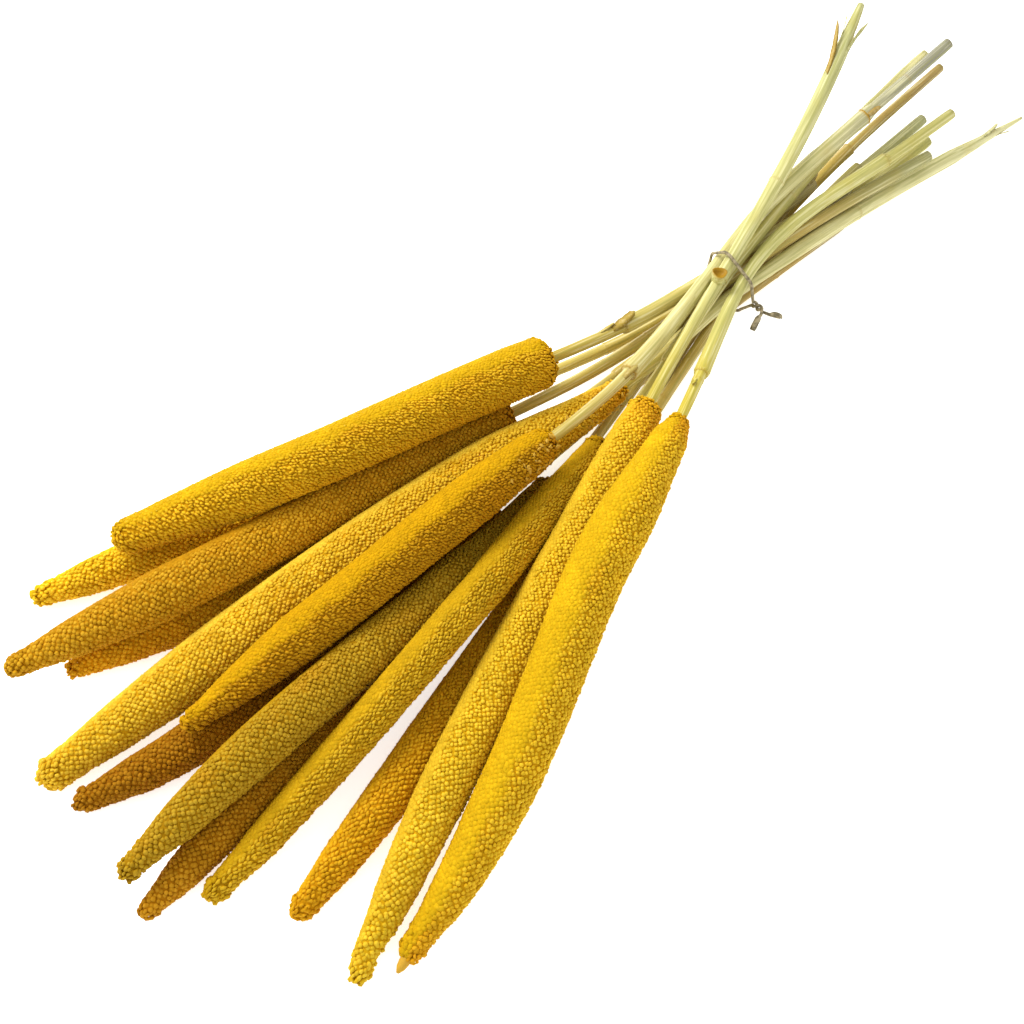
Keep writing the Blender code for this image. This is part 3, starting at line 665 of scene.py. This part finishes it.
def grain_finish(number, look):
    """Dry grains: golden-brown gaps of painted shade, coloured flanks, pale crowns of painted highlight, a smooth
    bright strip painted as the lit upper flank over real fuzz, more orange ends.
    """
    dye = linear(*look["dye"])
    painted_crevice_shade = (*(d * share for d, share in zip(dye, CREVICE_SHADE_SHARE)), 1.0)
    # The crown colour is a painted highlight for the grain tops.
    crown = (*(min(d * share, 1.0) for d, share in zip(dye, TOP_HIGHLIGHT_SHARE)), 1.0)
    finish = Finish(f"millet_grains_{number:02d}", roughness=0.80, ior=1.45, specular_ior_level=0.08)
    rise = finish.stored("rise")
    tone = finish.stored("tone")
    along = finish.stored("along")
    fuzz_and_lit_strip = finish.stored("fuzz_and_lit_strip")
    cloud = finish.noise(55.0, 3.0)
    fleck = finish.noise(1100.0, 2.0)
    # Painted shade: the dye is darkened at the grain's foot and on the core, and reaches the full dye up the grain.
    low = finish.mix(rise.between(0.0, 0.60), painted_crevice_shade, dye)
    # Painted highlight towards each grain's top, stronger on grains of high random tone, broken by fine flecks.
    colour = finish.mix((rise + 0.3 * fleck - 0.15).between(0.45, 1.0) * (0.35 + 0.65 * tone), low, crown)
    warm = (1.0 - along.between(0.0, 0.10)) * look["base"] + along.between(0.86, 1.0) * look["tip"]
    warm = warm + cloud.between(0.52, 0.75) * 0.22
    colour = finish.mix(warm * rise.between(0.1, 0.7), colour, ORANGE)
    # Painted light: in the strip on the lit upper flank, the grains and the core take one even strip colour over the
    # real, flatter fuzz.
    colour = finish.mix(fuzz_and_lit_strip * (0.70 + 0.20 * rise), colour, linear(*look["strip"]))
    colour = finish.mix(finish.stored("pale"), colour, CHAFF)
    shade = 0.88 + 0.20 * tone - 0.12 * cloud.between(0.3, 0.5)
    tint = finish.node("ShaderNodeCombineColor", {}, {"Red": shade, "Green": shade, "Blue": shade})
    colour = finish.mix(1.0, colour, tint, "MULTIPLY")
    finish.feed("Base Color", colour)
    finish.feed("Roughness", 0.70 + 0.25 * fleck)
    finish.bump(fleck, 0.0004, 0.5)
    return finish


def head_stub(line):
    """The bare stalk end that shows past a head's tip: a short tapered round rod along the line."""
    at = np.linspace(STUB_PLACES[0], STUB_PLACES[-1], STUB_ROWS)
    end = line.centre(np.array((line.length,)))
    ahead = line.directions(np.array((line.length - 0.004,)))[0]
    side = unit(np.cross((0.0, 0.0, 1.0), ahead))
    up = np.cross(ahead, side)
    angles = np.arange(STUB_SIDES) * TURN / STUB_SIDES
    ring = np.cos(angles)[None, :, None] * side[:, None] + np.sin(angles)[None, :, None] * up[:, None]
    radius = np.interp(at, STUB_PLACES, STUB_RADII)
    points = (end + at[:, None] * ahead)[:, None] + radius[:, None, None] * ring
    points = np.concatenate((points.reshape(-1, 3), end + at[[0, -1], None] * ahead))
    points[:, 2] = np.maximum(points[:, 2], FLOOR_LIFT)
    total = len(points)
    values = {"rise": np.full(total, 0.8), "tone": np.full(total, 0.6), "along": np.ones(total),
              "fuzz_and_lit_strip": np.zeros(total), "pale": np.full(total, 0.8)}
    return points, grid_faces(STUB_ROWS, STUB_SIDES), values


def dress_head(number):
    """One head: its grains and its core in one piece, with loose chaff or a bare tip where it has them."""
    node = f"head_{number:02d}"
    look = HEADS[number]
    line = Line(*head_rings(node))
    draw = np.random.default_rng(SEED * 100 + number)
    shapes = [grains_on(line, look, draw), core_of(line, look)]
    if look["chaff"]:
        shapes.append(chaff_on(line, look["chaff"], draw))
    if number == STUB_HEAD:
        shapes.append(head_stub(line))
    points, faces, values = together(*shapes)
    make_piece(f"millet_{node}", points, faces, grain_finish(number, look), [node], values)
    return line


def ribbon(centres, up, half_width, thickness):
    """A thin closed strip: at each centre a flat ring of four, the half width to each side and half thick up and down.

    Its sides are square to its run and to the up direction, and a pole closes each end.
    """
    ahead = unit(np.gradient(centres, axis=0))
    above = unit(up - (up * ahead).sum(1, keepdims=True) * ahead)
    side = np.cross(above, ahead)
    wide = side * half_width[:, None]
    thick = above * thickness / 2.0
    points = np.stack((centres + wide, centres + thick, centres - wide, centres - thick), axis=1).reshape(-1, 3)
    points = np.concatenate((points, centres[[0, -1]]))
    points[:, 2] = np.maximum(points[:, 2], FLOOR_LIFT)
    return points, grid_faces(len(centres), 4)


def torn_scale(line, begin, way, angle, sizes, brown, draw):
    """A torn scale: a ribbon that starts on the stem's skin and curves off it as the square of its run.

    Its width swells, then narrows to a ragged end.
    """
    length, width, lift, bend = (size / 1000.0 for size in sizes)
    t = np.linspace(0.0, 1.0, BLADE_ROWS)
    at = begin + way * length * t
    inside = np.minimum(at, line.length)
    ahead, beside, above = line.directions(inside)
    turn = math.radians(angle)
    radial = math.cos(turn) * beside + math.sin(turn) * above
    around = -math.sin(turn) * beside + math.cos(turn) * above
    off = line.radius(inside) * (0.92 + 0.12 * t) + lift * t**2
    centres = line.centre(inside) + ahead * (at - inside)[:, None]
    centres = centres + radial * off[:, None] + around * (bend * t**2)[:, None]
    half = width / 2.0 * (0.75 + 0.5 * t) * (1.0 - t**3) ** 0.5 * draw.uniform(0.85, 1.15, BLADE_ROWS)
    points, faces = ribbon(centres, radial, np.maximum(half, 0.0002), BLADE_THICKNESS)
    under = np.concatenate((np.tile((brown, brown * 0.8, brown, 0.9), BLADE_ROWS), (0.0, 0.6)))
    along = np.concatenate((np.repeat(inside / line.length, 4), inside[[0, -1]] / line.length))
    return points, faces, {"along": along, "rim": under, "lie": points * (1.0, 1.0, 0.2)}


def stem_finish(number, look, tie_share):
    """Dry stalk skin: its own colours along it, fine streaks, faint green, and brown rims at mouths and joints."""
    finish = Finish(f"stalk_skin_{number:02d}", roughness=0.55, ior=1.45, specular_ior_level=0.35)
    along = finish.stored("along")
    lie = finish.stored("lie", "Vector")
    streak = finish.noise(900.0, 3.0, lie)
    fine = finish.noise(2800.0, 2.0, lie)
    cloud = finish.noise(45.0, 3.0)
    near, middle, far = (linear(*look[key]) for key in ("near", "middle", "far"))
    colour = finish.mix(along.between(0.02, tie_share * 0.95), near, middle)
    colour = finish.mix(along.between(tie_share + 0.15, 0.97), colour, far)
    colour = finish.mix(streak.between(0.50, 0.66) * 0.50, colour, STEM_GREEN)
    colour = finish.mix((1.0 - streak).between(0.50, 0.66) * 0.45, colour, STEM_STREAK)
    colour = finish.mix(cloud.between(0.5, 0.75) * 0.35, colour, near)
    colour = finish.mix(finish.stored("rim").between(0.05, 1.0), colour, RIM_BROWN)
    shade = 0.86 + 0.26 * fine
    tint = finish.node("ShaderNodeCombineColor", {}, {"Red": shade, "Green": shade, "Blue": shade})
    colour = finish.mix(1.0, colour, tint, "MULTIPLY")
    finish.feed("Base Color", colour)
    finish.feed("Roughness", 0.42 + 0.25 * streak)
    finish.bump(streak + 0.5 * fine, 0.0004, 0.4)
    return finish


def hollow_mouth(line, place):
    """The cut end of a leaf sheath that stands open on the stem's top: a cup, turned round a leaning axis.

    Its profile runs up the outer wall, over the lip and down to the floor of the cup; the inside is brown.
    """
    at = np.array((place,))
    ahead, _, above = line.directions(at)
    axis = unit(above + MOUTH_LEAN * ahead)
    side = unit(np.cross((0.0, 1.0, 0.0), axis))
    other = np.cross(axis, side)
    centre = line.centre(at) + above * line.radius(place) * MOUTH_SEAT
    reach, rise, brown = np.array(MOUTH_PROFILE).T
    angles = np.arange(MOUTH_SIDES) * TURN / MOUTH_SIDES
    ring = np.cos(angles)[None, :, None] * side[:, None] + np.sin(angles)[None, :, None] * other[:, None]
    ring = ring * (1.0 + MOUTH_WAVE * np.cos(3.0 * angles + 1.0))[None, :, None]
    points = (centre + rise[:, None] * axis)[:, None] + reach[:, None, None] * ring
    points = np.concatenate((points.reshape(-1, 3), centre + rise[[0, -1], None] * axis))
    rims = np.concatenate((np.repeat(brown, MOUTH_SIDES), (0.0, 1.0)))
    along = np.full(len(points), place / line.length)
    return points, grid_faces(len(reach), MOUTH_SIDES), {"along": along, "rim": rims, "lie": points}


def with_stations(at, radius, rim, more, more_radius):
    """A stem's profile with more stations sorted in, which have no brown yet."""
    at = np.concatenate((at, more))
    radius = np.concatenate((radius, more_radius))
    rim = np.concatenate((rim, np.zeros(len(more))))
    order = np.argsort(at)
    return at[order], radius[order], rim[order]


def stem_profile(line, look, spot):
    """Places, radii and brownness along a stem.

    At a mouth the radius steps at once from the inner stalk to a lip that flares and fades as an exponential. At a
    joint it swells by a narrow bell.
    """
    rows = int(line.length / TUBE_STEP)
    at = np.unique(np.concatenate((np.linspace(0.0, line.length, rows), line.knots[1:-1])))
    radius = line.radius(at)
    rim = np.zeros(len(at))
    for thin, wide, flare, brown in look["mouths"]:
        a, b = spot(thin), spot(wide)
        way = 1.0 if b > a else -1.0
        inner, outer = line.radius(a), line.radius(b)
        keep = (at - a) * way <= 0.0
        keep |= (at - b) * way >= LIP_ROOM
        lip = b + way * np.array((-LIP, -0.00005, 0.0, 0.0006))
        at, radius, rim = with_stations(at[keep], radius[keep], rim[keep], lip,
                                        (inner, inner * 1.02, outer * 1.04, outer * 1.02))
        behind = np.maximum((at - b) * way, 0.0)
        past = (at - b) * way >= -1e-9
        radius = radius + past * flare * outer * np.exp(-behind / FLARE_LENGTH)
        rim = np.maximum(rim, brown * past * np.exp(-((behind / RIM_LENGTH) ** 2)))
    for joint in look["joints"]:
        middle = spot(joint)
        near = middle + np.array((-0.0016, -0.0008, 0.0, 0.0008, 0.0016))
        at, radius, rim = with_stations(at, radius, rim, near, np.interp(near, at, radius))
        bell = np.exp(-(((at - middle) / JOINT_WIDTH) ** 2))
        radius = radius * (1.0 + JOINT_SWELL * bell)
        rim = np.maximum(rim, JOINT_BROWN * bell)
    keep = np.concatenate(((True,), np.diff(at) > 1e-6))
    return at[keep], radius[keep], rim[keep]


def dress_stem(number, head_line):
    """One stem: a ribbed tube along its line that ends in a hollow cut, with its torn scales.

    Where it is thick enough to be a sheath, its radius drops along one winding edge, where the leaf laps over itself,
    and grows back as the square of the turn.
    """
    node = f"stem_{number:02d}"
    look = STEMS[number]
    line = Line(*stem_rings(node))
    draw = np.random.default_rng(SEED * 200 + number)
    fine = np.linspace(0.0, line.length, 2000)
    middles = line.centre(fine)
    base = fine[np.linalg.norm(middles - head_line.centres[0], axis=1).argmin()]
    low, high = (np.array(corner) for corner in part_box("tie"))
    tie = fine[np.abs(middles[:, 0] - (low[0] + high[0]) / 2.0).argmin()]

    def spot(place):
        """The distance along the stem of a place counted 0 at the head, 1 at the tie and 2 at the cut end."""
        return float(np.interp(place, (0.0, 1.0, 2.0), (base, tie, line.length)))

    at, radius, rim = stem_profile(line, look, spot)
    at = np.concatenate((at[:-1], np.array((0.0, 0.0, -CUT_DEPTH)) + line.length))
    radius = np.concatenate((radius[:-1], radius[-1] * np.array(CUT_RADII)))
    rim = np.concatenate((rim[:-1], CUT_BROWN))
    angles = np.tile(np.arange(TUBE_SIDES) * TURN / TUBE_SIDES, (len(at), 1))
    lap = np.mod(angles / TURN + OVERLAP_SHIFT * number + OVERLAP_WIND * (at / line.length)[:, None], 1.0)
    ribbed = radius[:, None] * (1.0 - RIB_DEPTH * (0.5 - 0.5 * np.cos(RIBS * angles + RIB_SHIFT * number)))
    ribbed = ribbed * (1.0 - OVERLAP_DEPTH * (1.0 - lap) ** 2 * (radius > SHEATH_RADIUS)[:, None])
    points = swept(line, at, ribbed, angles).reshape(-1, 3)
    points = np.concatenate((points, line.centre(at[[0, -1]])))
    points[:, 2] = np.maximum(points[:, 2], FLOOR_LIFT)
    along = np.concatenate((np.repeat(at, TUBE_SIDES), at[[0, -1]])) / line.length
    lie = np.stack((np.cos(angles) * ribbed, np.sin(angles) * ribbed,
                    np.tile(at[:, None] * 0.03, (1, TUBE_SIDES))), axis=-1).reshape(-1, 3)
    lie = np.concatenate((lie, np.zeros((2, 3))))
    rims = np.concatenate((np.repeat(rim, TUBE_SIDES), (0.0, 1.0)))
    shapes = [(points, grid_faces(len(at), TUBE_SIDES), {"along": along, "rim": rims, "lie": lie})]
    for place, way, angle, *sizes, brown in look["scales"]:
        shapes.append(torn_scale(line, spot(place), way, angle, sizes, brown, draw))
    if number == MOUTH_STEM:
        shapes.append(hollow_mouth(line, spot(MOUTH_PLACE)))
    points, faces, values = together(*shapes)
    make_piece(f"stalk_{node}", points, faces, stem_finish(number, look, tie / line.length), [node], values)


def tie_finish():
    """Brown paper wound on wire: cloudy grey-brown."""
    finish = Finish("tie_paper", roughness=0.8)
    cloud = finish.noise(500.0, 3.0)
    colour = finish.mix(cloud.between(0.35, 0.65), linear(104, 94, 66), linear(164, 150, 116))
    finish.feed("Base Color", colour)
    finish.bump(cloud, 0.0003, 0.6)
    return finish


def dress_tie(finish):
    """The tie's two flattened paper ends: ribbons that run from the twist and sag a little."""
    t = np.linspace(0.0, 1.0, TIE_ROWS)
    shapes = []
    for start, end, width in TIE_ENDS:
        centres = np.array(start) + t[:, None] * (np.array(end) - np.array(start))
        centres[:, 2] += TIE_SAG * np.sin(math.pi * t)
        half = width / 2.0 * np.interp(t, (0.0, 0.25, 0.9, 1.0), (0.35, 0.9, 1.0, 0.85))
        shapes.append((*ribbon(centres, np.tile(TIE_FACING, (TIE_ROWS, 1)), half, TIE_THICKNESS), {}))
    points, faces, values = together(*shapes)
    make_piece("tie_paper_ends", points, faces, finish, [], values)


def soft_light(name, place, target, size, power):
    """A square area light that looks at a target."""
    data = bpy.data.lights.new(name, "AREA")
    data.shape = "SQUARE"
    data.size = size
    data.energy = power
    lamp = bpy.data.objects.new(name, data)
    lamp.location = place
    aim = np.array(target) - np.array(place)
    flat = math.hypot(aim[0], aim[1])
    lamp.rotation_euler = (math.atan2(flat, -aim[2]), 0.0, math.atan2(aim[1], aim[0]) - math.pi / 2)
    bpy.context.scene.collection.objects.link(lamp)


def set_stage():
    """A plain pale floor, a soft key light from the photograph's upper left, and a bright room."""
    mesh = bpy.data.meshes.new("floor")
    side = FLOOR_HALF
    mesh.from_pydata([(-side, -side, 0.0), (side, -side, 0.0), (side, side, 0.0), (-side, side, 0.0)], [],
                     [(0, 1, 2, 3)])
    floor = bpy.data.objects.new("floor", mesh)
    bpy.context.scene.collection.objects.link(floor)
    finish = Finish("pale_floor", roughness=0.9, specular_ior_level=0.1, emission_strength=FLOOR_GLOW,
                    emission_color=(1.0, 1.0, 1.0, 1.0))
    cloud = finish.noise(3.0, 2.0)
    finish.feed("Base Color", finish.mix(cloud, (0.93, 0.93, 0.93, 1.0), (0.96, 0.96, 0.96, 1.0)))
    mesh.materials.append(finish.material)
    world = bpy.data.worlds.new("room")
    world.use_nodes = True
    world.node_tree.nodes["Background"].inputs["Color"].default_value = (1.0, 1.0, 1.0, 1.0)
    world.node_tree.nodes["Background"].inputs["Strength"].default_value = ROOM_LIGHT
    bpy.context.scene.world = world
    right = np.array((math.cos(EYE_TURN), math.sin(EYE_TURN), 0.0))
    away = np.array((-math.sin(EYE_TURN), math.cos(EYE_TURN), 0.0))
    up = np.array((0.0, 0.0, 1.0))
    key = KEY_PLACE[0] * right + KEY_PLACE[1] * away + KEY_PLACE[2] * up
    soft_light("key", tuple(key), (0.0, 0.0, 0.0), KEY_SIZE, KEY_POWER)
    bpy.context.scene.view_settings.view_transform = "Standard"
    bpy.context.scene.view_settings.look = "None"


def set_camera():
    """The photograph's camera."""
    data = bpy.data.cameras.new("camera")
    data.sensor_fit = "HORIZONTAL"
    data.sensor_width = SENSOR
    data.lens = LENS
    camera = bpy.data.objects.new("camera", data)
    camera.location = EYE
    camera.rotation_euler = (EYE_TILT, 0.0, EYE_TURN)
    bpy.context.scene.collection.objects.link(camera)
    bpy.context.scene.camera = camera


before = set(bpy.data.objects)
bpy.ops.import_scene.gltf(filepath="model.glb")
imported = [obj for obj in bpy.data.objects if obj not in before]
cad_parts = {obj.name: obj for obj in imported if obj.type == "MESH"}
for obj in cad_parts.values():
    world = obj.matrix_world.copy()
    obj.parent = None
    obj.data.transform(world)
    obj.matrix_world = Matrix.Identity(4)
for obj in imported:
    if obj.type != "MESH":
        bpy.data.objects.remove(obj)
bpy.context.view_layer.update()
set_camera()
set_stage()
for number in sorted(HEADS):
    dress_stem(number, dress_head(number))
paper = tie_finish()
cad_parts["tie"].data.materials.clear()
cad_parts["tie"].data.materials.append(paper.material)
dress_tie(paper)
